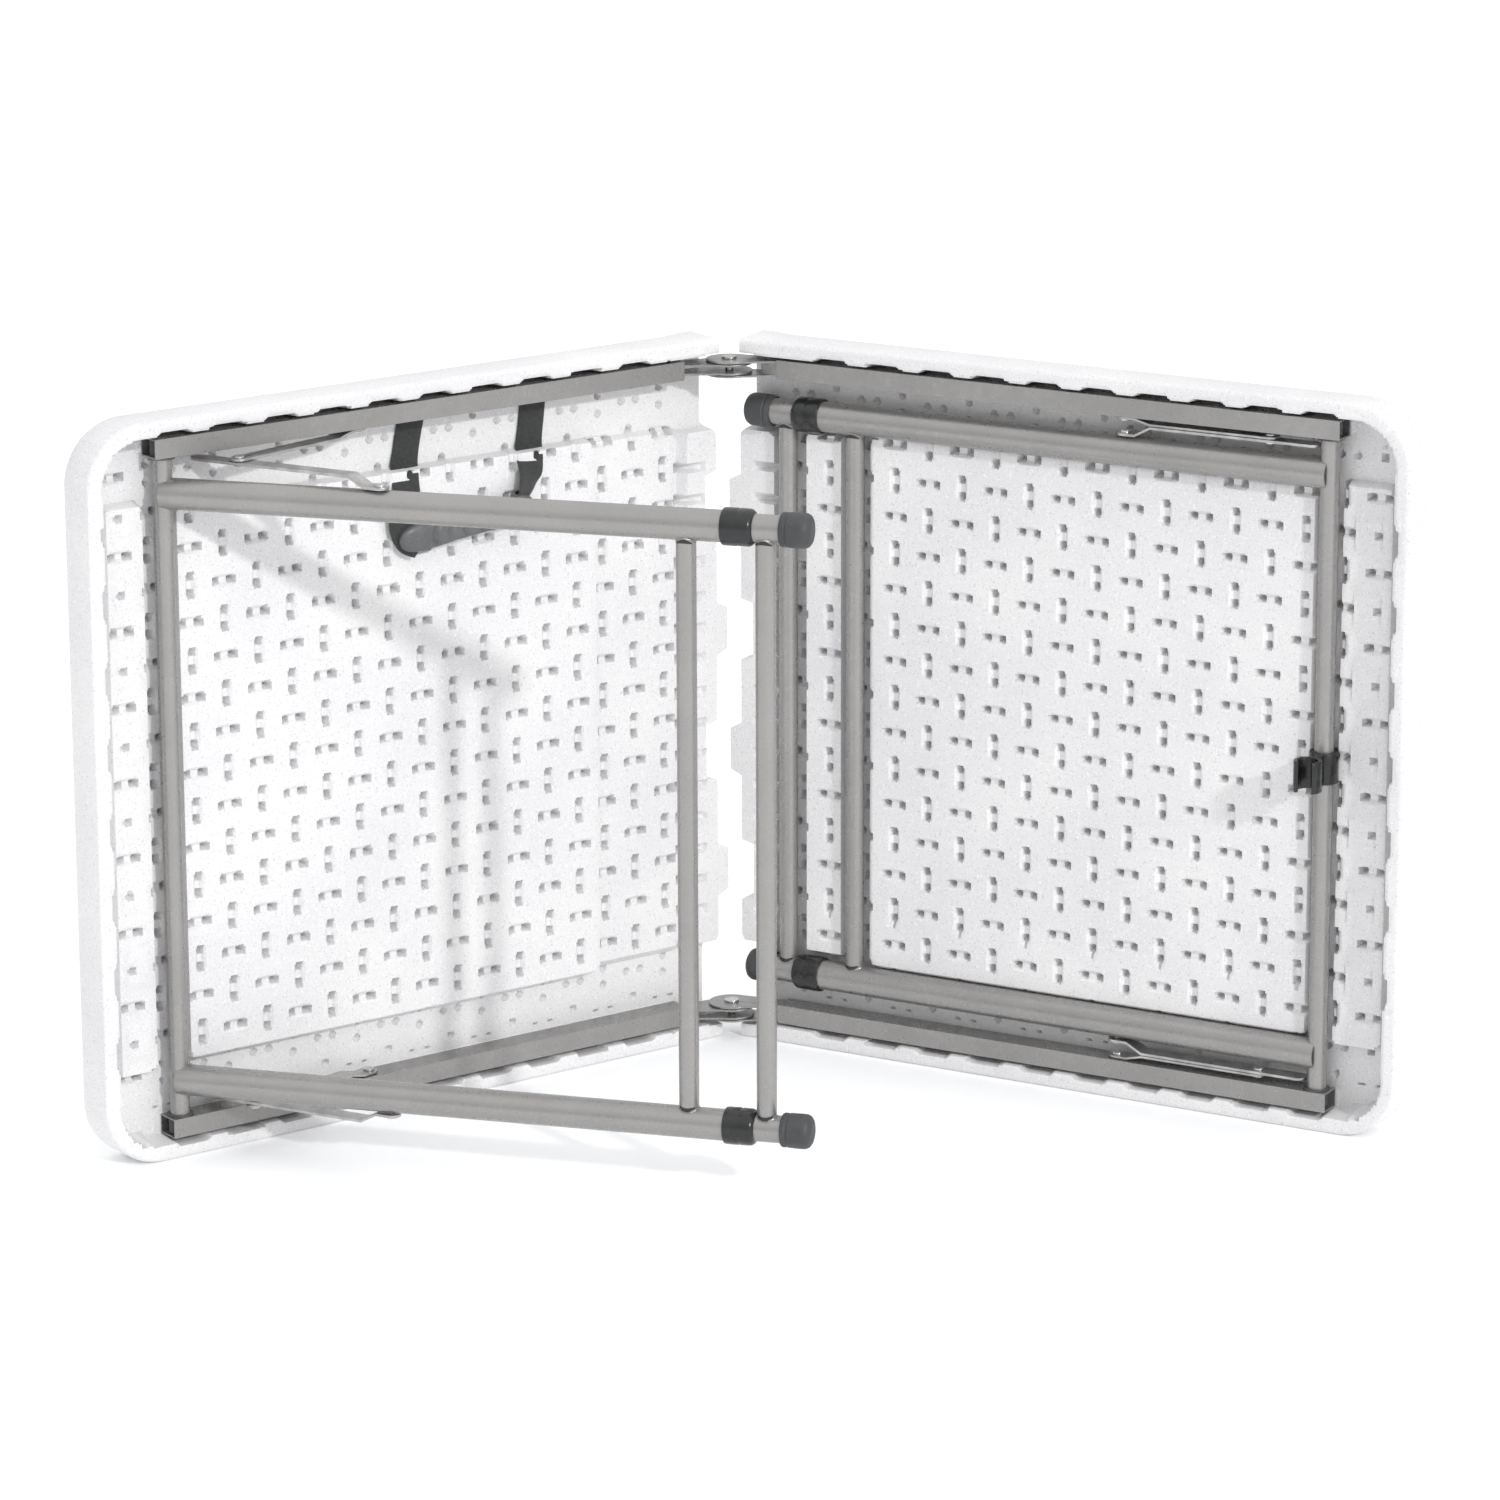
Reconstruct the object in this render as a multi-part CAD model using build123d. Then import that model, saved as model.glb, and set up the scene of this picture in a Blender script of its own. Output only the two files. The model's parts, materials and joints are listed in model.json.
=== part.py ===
"""Fold-in-half blow-moulded table with two telescopic leg frames, stood on its long edge half open.

Each half is modelled in its own frame: x runs from the fold line to the outer end, y from the
fold plane into the table top, and z across the table. The halves are then turned about the
fold axis, which is vertical as the table stands, and the left half is mirrored.
"""
from build123d import *
from math import acos, asin, degrees, radians, sin
import os

# Whole table, mm and degrees
WIDTH = 610.0
HALF_LENGTH = 616.0
HALF_ANGLE = 57.5            # from the symmetry plane to each half
LEFT_LEG_ANGLE = 51.2        # how far the left leg frame stands open
RIGHT_LEG_ANGLE = 0.0
RUNNING = 0.05               # radial clearance of every running fit

# Moulded panel
LIP = 1.0                    # skirt edge, measured from the fold plane
TOP = 45.0                   # table surface
FLOOR = 31.0                 # underside between the raised fields
FIELD = 18.0                 # raised field of the underside
SKIRT = 15.5                 # thickness of the side skirts
END_SKIRT = 16.0
CORNER = 52.0
EDGE = 9.0
SEAM_GAP = 0.5
SEAM_SETBACK = 9.0           # end of the panel beside the hinges
SETBACK_WIDTH = 80.0
FIELD_MARGIN = 88.0
TONGUE = (46.0, 10.5)        # width and reach
POCKET = (50.0, 12.5)
LEFT_TONGUES = (144.0, 356.0)
RIGHT_TONGUES = (250.0, 467.0)

# Rails and hinges
RAIL_INSET = 24.0
RAIL_WIDE = 16.0
RAIL_DEEP = (5.0, 27.0)
RAIL_WALL = 1.2
RAIL_RUN = (42.0, 552.0)
HINGE_DISC = 19.5
PIN_RADIUS = 3.35
LEFT_EARS = (2.7, 4.5)
RIGHT_EARS = (5.1, 6.7)
WASHER = (4.6, 5.0)
PIN_HEAD = (6.9, 8.7)
SCOOP_RADIUS = 22.5
SCOOP_WIDE = 24.0

# Leg frames, distances taken along the leg from its pivot
PIVOT = (540.0, 16.0)
PIVOT_TUBE = 8.0
PIVOT_END = 18.0
LEG_INSET = 62.0
UPPER_TUBE = 12.7
LOWER_TUBE = 11.0
TUBE_WALL = 1.2
UPPER_END = 476.0
BRACE_TUBE_AT = 429.0
COLLAR = (459.0, 484.0)
COLLAR_RADIUS = 14.7
LOWER_RUN = (302.0, 528.0)
LOWER_BAR_AT = 492.6
CAP = (505.6, 530.6)
CAP_RADIUS = 13.75
BUSH_RADIUS = 9.5
FLANGE = 1.4                 # rim of the pivot bush, thickness and overhang
BUSH_PLAY = 0.06

# Folding braces
BRACE_ROOT = 181.0           # from the leg pivot, on the rail and on the leg
ARM = 128.7
ARM_WIDE = 15.0
ARM_THICK = 2.2
TAIL = 36.0
RIVET = 2.5
RIVET_HEAD = 4.6
RIVET_PLAY = 0.06
HEAD_THICK = 1.6
HEAD_PLAY = 0.1
RAIL_ARM_LEVELS = (32.4, 36.0)
LEG_ARM_LEVELS = (46.2, 38.6)

# Carry handle and closing latch
STRAP_AT = (320.0, 196.0)
STRAP_WIDE = 25.0
STRAP_THICK = 1.2
HANDLE_AXIS = (15.0, 576.5)
STRAP_LOW = (490.0, 503.0)
GRIP_SIZE = (132.0, 13.0, 23.0)
LATCH_HEIGHT = 306.0
LATCH_WIDE = 26.0
LATCH_RING = 12.0


def brace_angle(leg_angle):
    """Angle between a brace arm and the rail or leg it is riveted to."""
    chord = sin(radians(leg_angle / 2)) * BRACE_ROOT / ARM
    return 90 - leg_angle / 2 - degrees(acos(min(chord, 1.0)))


def span_box(x_span, y_span, z_span):
    size = [high - low for low, high in (x_span, y_span, z_span)]
    centre = [(high + low) / 2 for low, high in (x_span, y_span, z_span)]
    return Pos(*centre) * Box(*size)


def upright(radius, z_span, at):
    length = z_span[1] - z_span[0]
    return Pos(at[0], at[1], z_span[0] + length / 2) * Cylinder(radius, length)


def along_leg(radius, run, inset):
    """Cylinder on the centre line of a folded leg, between two distances from the pivot."""
    length = run[1] - run[0]
    place = Pos(PIVOT[0] - run[0] - length / 2, PIVOT[1], inset)
    return place * Rot(0, 90, 0) * Cylinder(radius, length)


def other_edge(shape):
    return mirror(shape, about=Plane.XY.offset(WIDTH / 2))


def both_edges(shape):
    return shape + other_edge(shape)


def panel_blank():
    blank = span_box((SEAM_SETBACK, HALF_LENGTH), (LIP, TOP), (0, WIDTH))
    corners = blank.edges().filter_by(Axis.Y).group_by(Axis.X)[-1]
    blank = fillet(corners, CORNER)
    return fillet(blank.faces().sort_by(Axis.Y)[-1].edges(), EDGE)


def hinge_scoops(shape):
    """Cut the round clearances for the hinge discs."""
    half = SCOOP_WIDE / 2
    scoop = upright(SCOOP_RADIUS, (RAIL_INSET - half, RAIL_INSET + half), (0, 0))
    return shape - scoop - other_edge(scoop)


def deck_voids():
    """The closed hollow that blow moulding leaves inside the deck."""
    middle = (FIELD_MARGIN + 3, WIDTH - FIELD_MARGIN - 3)
    side = (SKIRT - 3, FIELD_MARGIN - 3)
    inside = (FLOOR + 3, TOP - 3)
    strip = span_box((30, 570), inside, side)
    return [span_box((16, 600), inside, middle), strip, other_edge(strip)]


def deck(tongues, pockets):
    """Table top down to the floor of the recess, with the interlocking edge at the fold."""
    body = panel_blank() & span_box((0, HALF_LENGTH + 5), (FLOOR, TOP + 5), (-5, WIDTH + 5))
    body += span_box((SEAM_GAP, 33.0), (FIELD, TOP), (SETBACK_WIDTH, WIDTH - SETBACK_WIDTH))
    for z in tongues:
        body += span_box((-TONGUE[1], 6), (20, TOP), (z - TONGUE[0] / 2, z + TONGUE[0] / 2))
    for z in pockets:
        body -= span_box((-5, POCKET[1]), (0, TOP + 5), (z - POCKET[0] / 2, z + POCKET[0] / 2))
    body = hinge_scoops(body)
    for void in deck_voids():
        body -= void
    return body


def raised_fields():
    """Raised bands of the underside, with channels left between them for the folded tubes."""
    across = (FIELD_MARGIN, WIDTH - FIELD_MARGIN)
    bands = (((62.0, 98.0), FIELD), ((124.0, 522.0), FIELD), ((556.0, 592.0), FIELD + 4))
    fields = []
    for run, top in bands:
        solid = span_box(run, (top, FLOOR), across)
        inside = (across[0] + 3, across[1] - 3)
        fields.append(solid - span_box((run[0] + 3, run[1] - 3), (top + 3, FLOOR - 3), inside))
    return fields[0] + fields[1] + fields[2]


def skirt(strap_places):
    """Wall round three sides of the recess, with a ledge under each rail, notched for the straps."""
    wall = panel_blank() & span_box((0, HALF_LENGTH + 5), (0, FLOOR), (-5, WIDTH + 5))
    hollow = span_box((-20, HALF_LENGTH - END_SKIRT), (-10, FLOOR + 5), (SKIRT, WIDTH - SKIRT))
    inner = hollow.edges().filter_by(Axis.Y).group_by(Axis.X)[-1]
    wall -= fillet(inner, CORNER - END_SKIRT)
    ledge = span_box(RAIL_RUN, (RAIL_DEEP[1], FLOOR), (SKIRT - 1, RAIL_INSET + 5))
    wall = wall + ledge + other_edge(ledge)
    for at in strap_places:
        wall -= span_box((at - STRAP_WIDE / 2 - 1, at + STRAP_WIDE / 2 + 1), (26, 28.6), (578, 592.5))
    return hinge_scoops(wall)


def rail():
    across = (RAIL_INSET - RAIL_WIDE / 2, RAIL_INSET + RAIL_WIDE / 2)
    inside = (RAIL_DEEP[0] + RAIL_WALL, RAIL_DEEP[1] - RAIL_WALL)
    bar = span_box(RAIL_RUN, RAIL_DEEP, across)
    bar -= span_box((0, 600), inside, (across[0] + RAIL_WALL, across[1] - RAIL_WALL))
    wall = (across[1] - 2, across[1] + 2)
    bar -= upright(BUSH_RADIUS + BUSH_PLAY, wall, PIVOT)
    return bar - upright(RIVET + RIVET_PLAY, wall, (PIVOT[0] - BRACE_ROOT, PIVOT[1]))


def hinge_bracket(ears, web_run, web_deep):
    """Channel nested in the end of the rail, with two disc-ended ears."""
    arm = Polygon((16, -10.5), (40, 6.5), (78, 6.5), (78, 25.5), (40, 25.5), (-2, 19), align=None)
    ear = extrude(arm, ears[1] - ears[0]) + upright(HINGE_DISC, (0, ears[1] - ears[0]), (0, 0))
    ear -= upright(PIN_RADIUS + RUNNING, (-5, 10), (0, 0))
    web_wide = (RAIL_INSET - ears[1], RAIL_INSET + ears[1])
    bracket = Pos(0, 0, RAIL_INSET + ears[0]) * ear + Pos(0, 0, RAIL_INSET - ears[1]) * ear
    return bracket + span_box(web_run, web_deep, web_wide)


def hinge_pin():
    shank = upright(PIN_RADIUS, (RAIL_INSET - PIN_HEAD[1], RAIL_INSET + PIN_HEAD[1]), (0, 0))
    for low in (-PIN_HEAD[1], PIN_HEAD[0]):
        head = (RAIL_INSET + low, RAIL_INSET + low + PIN_HEAD[1] - PIN_HEAD[0])
        shank += upright(PIN_RADIUS + 3, head, (0, 0))
    return shank


def hinge_washers():
    rings = []
    for low in (-WASHER[1], WASHER[0]):
        run = (RAIL_INSET + low, RAIL_INSET + low + WASHER[1] - WASHER[0])
        rings.append(upright(9, run, (0, 0)) - upright(PIN_RADIUS + RUNNING, run, (0, 0)))
    return rings[0] + rings[1]


def pivot_bush():
    """Sleeve in the rail's hole, with a flange just clear of the rail's inner face."""
    flange = RAIL_INSET + RAIL_WIDE / 2 + HEAD_PLAY
    sleeve = upright(BUSH_RADIUS, (PIVOT_END, flange), PIVOT)
    sleeve += upright(BUSH_RADIUS + FLANGE, (flange, flange + FLANGE), PIVOT)
    return sleeve - upright(PIVOT_TUBE + RUNNING, (0, 2 * LEG_INSET), PIVOT)


def pivot_tube():
    span = (PIVOT_END, WIDTH - PIVOT_END)
    return upright(PIVOT_TUBE, span, PIVOT) - upright(PIVOT_TUBE - TUBE_WALL, span, PIVOT)


def upper_leg():
    tube = along_leg(UPPER_TUBE, (0, UPPER_END), LEG_INSET)
    tube -= along_leg(UPPER_TUBE - TUBE_WALL, (-5, UPPER_END + 5), LEG_INSET)
    tube -= upright(PIVOT_TUBE + RUNNING, (0, 2 * LEG_INSET), PIVOT)
    return tube - upright(RIVET, (40, LEG_INSET - 5), (PIVOT[0] - BRACE_ROOT, PIVOT[1]))


def cross_tube(distance, leg_radius):
    """Round tube between the two legs, its ends fitted to their sides."""
    at = (PIVOT[0] - distance, PIVOT[1])
    span = (LEG_INSET, WIDTH - LEG_INSET)
    tube = upright(PIVOT_TUBE, span, at) - upright(PIVOT_TUBE - TUBE_WALL, span, at)
    leg = along_leg(leg_radius, (distance - 30, distance + 30), LEG_INSET)
    return tube - leg - other_edge(leg)


def collar():
    sleeve = along_leg(COLLAR_RADIUS, COLLAR, LEG_INSET)
    sleeve -= along_leg(UPPER_TUBE, (COLLAR[0], UPPER_END), LEG_INSET)
    return sleeve - along_leg(LOWER_TUBE + RUNNING, COLLAR, LEG_INSET)


def lower_leg():
    tube = along_leg(LOWER_TUBE, LOWER_RUN, LEG_INSET)
    return tube - along_leg(LOWER_TUBE - TUBE_WALL, LOWER_RUN, LEG_INSET)


def guide_plug():
    flange = along_leg(UPPER_TUBE - TUBE_WALL - RUNNING, (LOWER_RUN[0] - 6, LOWER_RUN[0]), LEG_INSET)
    plug = along_leg(LOWER_TUBE - TUBE_WALL, (LOWER_RUN[0] - 6, LOWER_RUN[0] + 18), LEG_INSET)
    return flange + plug


def foot_cap():
    cap = along_leg(CAP_RADIUS, CAP, LEG_INSET)
    cap = fillet(cap.edges().sort_by(Axis.X)[0], 2.5)
    return cap - along_leg(LOWER_TUBE, (CAP[0], LOWER_RUN[1]), LEG_INSET)


def arm_bar(levels, tail, root_hole):
    """Flat bar from x=0, stepped from its root level to the level of the middle rivet."""
    root, free = levels
    low = [(-9, root), (11, root), (25, free), (ARM + tail + 9, free)]
    high = [(x, z + ARM_THICK) for x, z in reversed(low)]
    side = make_face(Plane.XZ * Polyline(*low, *high, close=True))
    bar = extrude(side, ARM_WIDE, both=True)
    plan = Pos((ARM + tail) / 2, 0, 0) * SlotCenterToCenter(ARM + tail, ARM_WIDE)
    bar = bar & extrude(plan, 80)
    bar -= upright(root_hole, (0, 80), (0, 0))
    return bar - upright(RIVET + RIVET_PLAY, (0, 80), (ARM, 0))


def headed_rivet(head, span):
    """Rivet through two flat pieces, with a head just clear of each outer face."""
    low, high = span
    rivet = upright(RIVET, (low - HEAD_THICK, high + HEAD_THICK), (0, 0))
    rivet += upright(head, (low - HEAD_THICK, low - HEAD_PLAY), (0, 0))
    return rivet + upright(head, (high + HEAD_PLAY, high + HEAD_THICK), (0, 0))


def rail_rivet():
    inside = RAIL_INSET + RAIL_WIDE / 2 - RAIL_WALL
    return headed_rivet(RIVET_HEAD, (inside, RAIL_ARM_LEVELS[0] + ARM_THICK))


def apex_rivet():
    return headed_rivet(RIVET_HEAD, (RAIL_ARM_LEVELS[1], LEG_ARM_LEVELS[1] + ARM_THICK))


def leg_rivet():
    """Rivet end held in the leg, short of the leg arm."""
    inside = LEG_INSET - UPPER_TUBE + TUBE_WALL
    shank = upright(RIVET, (LEG_ARM_LEVELS[0] + ARM_THICK + 0.5, inside + 2.5), (0, 0))
    return shank + upright(RIVET_HEAD - 0.6, (inside + 1.1, inside + 2.5), (0, 0))


def arm_stud():
    """Rivet end held in the leg arm, short of the leg."""
    root = LEG_ARM_LEVELS[0]
    return upright(RIVET, (root, root + ARM_THICK), (0, 0)) + upright(RIVET_HEAD, (root - 1.6, root), (0, 0))


def turn_about(shape, at, angle):
    return Pos(at[0], at[1], 0) * Rot(0, 0, angle) * Pos(-at[0], -at[1], 0) * shape


def with_leg(shape, leg_angle):
    return turn_about(shape, PIVOT, leg_angle)


def brace_parts(leg_angle):
    """Arms and rivets of one brace, on the low edge of the table."""
    root = (PIVOT[0] - BRACE_ROOT, PIVOT[1])
    theta = brace_angle(leg_angle)
    on_rail = Pos(root[0], root[1], 0) * Rot(0, 0, -theta)
    on_leg = Pos(root[0], root[1], 0) * Rot(0, 0, theta)
    return {
        "rail_arm": on_rail * arm_bar(RAIL_ARM_LEVELS, 0, RIVET + RIVET_PLAY),
        "rail_rivets": on_rail * rail_rivet(),
        "apex_rivets": on_rail * Pos(ARM, 0, 0) * apex_rivet(),
        "leg_arm": with_leg(on_leg * arm_bar(LEG_ARM_LEVELS, TAIL, RIVET), leg_angle),
        "leg_rivets": with_leg(on_leg * leg_rivet(), leg_angle),
        "arm_studs": with_leg(on_leg * arm_stud(), leg_angle),
    }


def strap(at, low):
    """Webbing that hangs behind the folded leg and steps over the raised field to the grip."""
    deep = FLOOR - 1.1
    path = [(deep, HANDLE_AXIS[1]), (deep, 538), (11.5, 523), (11.5, low)]
    front = [(y - STRAP_THICK / 2, z) for y, z in path]
    back = [(y + STRAP_THICK / 2, z) for y, z in reversed(path)]
    profile = make_face(Plane.YZ * Polyline(*front, *back, close=True))
    return Pos(at, 0, 0) * extrude(profile, STRAP_WIDE / 2, both=True)


def grip():
    rise = STRAP_LOW[1] - STRAP_LOW[0]
    slope = degrees(asin(rise / (STRAP_AT[0] - STRAP_AT[1])))
    bar = Box(*GRIP_SIZE)
    bar = fillet(bar.edges().filter_by(Axis.Y), 9)
    bar = fillet(bar.edges(), 3)
    middle = (STRAP_AT[0] + STRAP_AT[1]) / 2
    height = (STRAP_LOW[0] + STRAP_LOW[1]) / 2 - GRIP_SIZE[2] / 2
    return Pos(middle, 9.0, height) * Rot(0, slope, 0) * bar


def anchor(at):
    """Folded end of the webbing, clamped behind the rail."""
    return span_box((at - STRAP_WIDE / 2, at + STRAP_WIDE / 2), (27.0, 28.4), (578.5, 592))


def latch():
    """Clip that turns on the pivot tube and snaps over the tube of the other half."""
    span = (LATCH_HEIGHT - LATCH_WIDE / 2, LATCH_HEIGHT + LATCH_WIDE / 2)
    hook = (PIVOT[0], -PIVOT[1])
    body = upright(LATCH_RING, span, PIVOT) + upright(LATCH_RING - 0.4, span, hook)
    body += span_box((PIVOT[0] - 5, PIVOT[0] + 5), (-PIVOT[1], PIVOT[1]), span)
    body -= upright(PIVOT_TUBE + RUNNING, (0, WIDTH), PIVOT)
    body -= upright(PIVOT_TUBE + 0.3, (0, WIDTH), hook)
    mouth = Polygon((0, 0), (-14, -16), (14, -16), align=None)
    return body - Pos(*hook, 0) * extrude(mouth, WIDTH)


def half_parts(leg_angle, ears, webs, edges, strap_places):
    """Every piece of one half, in that half's own frame."""
    bracket = hinge_bracket(ears, *webs)
    parts = {
        "deck": deck(*edges),
        "raised_fields": raised_fields(),
        "skirt": skirt(strap_places),
        "rail_bottom": rail(),
        "rail_top": other_edge(rail()),
        "hinge_bracket_bottom": bracket,
        "hinge_bracket_top": other_edge(bracket),
        "pivot_bushes": both_edges(with_leg(pivot_bush(), leg_angle)),
    }
    frame = {
        "pivot_tube": pivot_tube(),
        "upper_leg_bottom": upper_leg(),
        "upper_leg_top": other_edge(upper_leg()),
        "brace_tube": cross_tube(BRACE_TUBE_AT, UPPER_TUBE),
        "collars": both_edges(collar()),
        "lower_leg_bottom": lower_leg(),
        "lower_leg_top": other_edge(lower_leg()),
        "lower_crossbar": cross_tube(LOWER_BAR_AT, LOWER_TUBE),
        "guide_plugs": both_edges(guide_plug()),
        "foot_caps": both_edges(foot_cap()),
    }
    for name, shape in frame.items():
        parts[name] = with_leg(shape, leg_angle)
    for name, shape in brace_parts(leg_angle).items():
        if name.endswith("arm"):
            parts[name + "_bottom"] = shape
            parts[name + "_top"] = other_edge(shape)
        else:
            parts[name] = both_edges(shape)
    return parts


def in_place(shape, side):
    """Turn a half-frame shape to where it stands, and mirror it for the left half."""
    turned = Rot(0, 0, HALF_ANGLE - 90) * shape
    return mirror(turned, about=Plane.YZ) if side == "left" else turned


def build():
    left_edges = (LEFT_TONGUES, RIGHT_TONGUES)
    right_edges = (RIGHT_TONGUES, LEFT_TONGUES)
    left = half_parts(LEFT_LEG_ANGLE, LEFT_EARS, ((42, 78), (23.8, 25.5)), left_edges, STRAP_AT)
    right = half_parts(RIGHT_LEG_ANGLE, RIGHT_EARS, ((27, 75), (6.5, 8.3)), right_edges, ())
    nodes = {}
    for side, parts in (("left", left), ("right", right)):
        for name, shape in parts.items():
            nodes[side + "_" + name] = in_place(shape, side)
    nodes["hinge_pins"] = both_edges(hinge_pin())
    nodes["hinge_washers"] = both_edges(hinge_washers())
    straps = [strap(at, low) - grip() for at, low in zip(STRAP_AT, STRAP_LOW)]
    nodes["handle_straps"] = in_place(straps[0] + straps[1], "left")
    nodes["handle_grip"] = in_place(grip(), "left")
    nodes["handle_anchors"] = in_place(anchor(STRAP_AT[0]) + anchor(STRAP_AT[1]), "left")
    nodes["latch"] = in_place(latch(), "right")
    return nodes


def centre_depth(nodes):
    """Middle of the whole table's depth, which becomes the origin."""
    boxes = [shape.bounding_box() for shape in nodes.values()]
    return (min(box.min.Y for box in boxes) + max(box.max.Y for box in boxes)) / 2


nodes = build()
depth_shift = centre_depth(nodes)
os.makedirs("parts", exist_ok=True)
for node_name, node_shape in nodes.items():
    export_step(Pos(0, -depth_shift, 0) * node_shape, "parts/" + node_name + ".step")
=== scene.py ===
"""Looks of a fold-in-half moulded table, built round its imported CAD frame.

Each half has its own frame in millimetres: u runs from the fold line to the outer end, n from
the fold plane into the table top, and w up the table's width. row() turns it into the row frame.
"""
import json
import math

import bmesh
import bpy
import numpy as np
from mathutils import Matrix, Vector


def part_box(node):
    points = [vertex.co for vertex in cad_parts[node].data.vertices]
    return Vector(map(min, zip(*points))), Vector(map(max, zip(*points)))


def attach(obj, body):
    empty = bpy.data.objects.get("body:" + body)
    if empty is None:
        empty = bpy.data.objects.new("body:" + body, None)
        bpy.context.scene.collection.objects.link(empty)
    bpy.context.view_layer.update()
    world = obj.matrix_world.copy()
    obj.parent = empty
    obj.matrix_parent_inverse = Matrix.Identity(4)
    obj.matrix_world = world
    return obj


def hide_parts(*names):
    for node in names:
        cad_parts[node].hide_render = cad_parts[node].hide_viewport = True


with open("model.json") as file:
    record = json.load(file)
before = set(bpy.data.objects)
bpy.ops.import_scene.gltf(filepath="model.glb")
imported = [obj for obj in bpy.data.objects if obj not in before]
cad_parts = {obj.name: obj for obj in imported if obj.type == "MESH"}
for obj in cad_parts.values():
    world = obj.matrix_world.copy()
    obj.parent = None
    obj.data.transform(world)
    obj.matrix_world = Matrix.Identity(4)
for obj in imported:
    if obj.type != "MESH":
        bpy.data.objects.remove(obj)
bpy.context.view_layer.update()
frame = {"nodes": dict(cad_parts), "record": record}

# The two halves
MM = 0.001
HALF_ANGLE = math.radians(57.5)               # of each half from the plane of symmetry
PIN_LOW, PIN_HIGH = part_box("hinge_pins")
FOLD_Y = (PIN_LOW.y + PIN_HIGH.y) / 2
SIGN = {"left": -1.0, "right": 1.0}
WIDTH, HALF_LENGTH, CORNER = 610.0, 616.0, 52.0

# Leg frames
LEG_ANGLE = {"left": math.radians(51.2), "right": 0.0}    # between leg and half at rest
PIVOT = (540.0, 16.0)                         # u and n of the pivot tube
LEG_INSET = 62.0                              # of each leg from the long edge
TUBE_RADIUS = 8.0
CROSS_TUBES = (("brace", 429.0, 12.7, "_leg_frame"), ("bar", 492.6, 11.0, "_lower_legs"))

# Underside of the moulding: its levels along n, then its features along u and w
LIP, TOP, FLOOR, FIELD, OUTER_FIELD = 1.0, 45.0, 31.0, 18.0, 22.0
LOW_FIELD, RAIL_SEAT = 25.5, 27.15
SKIRT, END_SKIRT, CORNER_SKIRT, RIM = 15.2, 16.0, 15.6, 4.0
FIELD_RUN, FIELD_INSET = (124.0, 528.0), 76.0
BAND_RUN = {"left": (36.0, 120.0), "right": (62.0, 98.0)}
BAND_TOP = {"left": LOW_FIELD, "right": FIELD}
BAND_INSET = 78.0
OUTER_START = {"left": 556.0, "right": 549.5}
OUTER_STOP, OUTER_INSET = 592.0, 70.0
SEAM_BLOCK = (-40.0, 33.0)
SEAM_DASH_PITCH = 27.7
SIDE_SLOT_PITCH, SIDE_SLOT = 49.0, 33.0       # of the slots along the skirt
CELL = 31.0                                   # spacing of the dimple lattice
DOT_REACH = 7.4                               # of the deep dots from a slot's middle
OUTER_ROW = 577.0                             # u of the dimples beyond the pivot tube
LATTICE = {"left": (174.4, 96.9), "right": (147.1, 96.9)}
TONGUES = {"left": (144.0, 356.0), "right": (250.0, 467.0)}
POCKETS = {"left": TONGUES["right"], "right": TONGUES["left"]}
TONGUE_HALF, TONGUE_REACH, TONGUE_SLOPE = 23.0, 10.5, 5.0
POCKET_HALF, POCKET_REACH = 25.0, 12.0
SEAM_EDGE, SEAM_SETBACK, SETBACK_WIDTH = 0.5, 9.0, 80.0
HINGE_INSET, SCOOP_RADIUS, SCOOP_HALF = 24.0, 22.5, 12.0


def row(side, u, n, w):
    """A point of a half's own frame, in millimetres, as a row-frame point in metres."""
    sa, ca = math.sin(HALF_ANGLE), math.cos(HALF_ANGLE)
    return Vector((SIGN[side] * (u * sa + n * ca) * MM, FOLD_Y + (n * sa - u * ca) * MM, w * MM))


def leg(side, along, off, w):
    """A point beside a leg: its distance from the pivot and its offset away from the table top."""
    c, s = math.cos(LEG_ANGLE[side]), math.sin(LEG_ANGLE[side])
    return row(side, PIVOT[0] - along * c + off * s, PIVOT[1] - along * s - off * c, w)


# ---------------------------------------------------------------- mesh helpers
def new_object(name, bm, material, smooth_angle=40.0):
    """Make a mesh object from bm, smooth except where faces meet at more than the angle."""
    bmesh.ops.remove_doubles(bm, verts=bm.verts, dist=1e-6)
    bmesh.ops.recalc_face_normals(bm, faces=bm.faces)
    mesh = bpy.data.meshes.new(name)
    bm.to_mesh(mesh)
    bm.free()
    mesh.shade_smooth()
    mesh.set_sharp_from_angle(angle=math.radians(smooth_angle))
    mesh.materials.append(material)
    piece = bpy.data.objects.new(name, mesh)
    bpy.context.scene.collection.objects.link(piece)
    return piece


def loft(bm, rings, closed=False):
    """Skin rings that have the same number of points, with end caps or closed on itself."""
    made = [[bm.verts.new(p) for p in ring] for ring in rings]
    pairs = list(zip(made, made[1:]))
    if closed:
        pairs.append((made[-1], made[0]))
    count = len(made[0])
    for low, high in pairs:
        for i in range(count):
            j = (i + 1) % count
            bm.faces.new((low[i], low[j], high[j], high[i]))
    if not closed:
        bm.faces.new(made[0])
        bm.faces.new(made[-1])


def circle(radius, steps):
    """Points round a circle."""
    angles = [2 * math.pi * i / steps for i in range(steps)]
    return [(radius * math.cos(a), radius * math.sin(a)) for a in angles]


def smooth(x):
    """Ease from 0 to 1 as x goes from 0 to 1."""
    x = np.clip(x, 0.0, 1.0)
    return x * x * (3 - 2 * x)


# ---------------------------------------------------------------- moulded panel
def corner_lines():
    """Distances from an edge at which the grid follows a rounded corner."""
    return [CORNER * (1 - math.cos(math.radians(a))) for a in range(0, 90, 9)]


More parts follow.
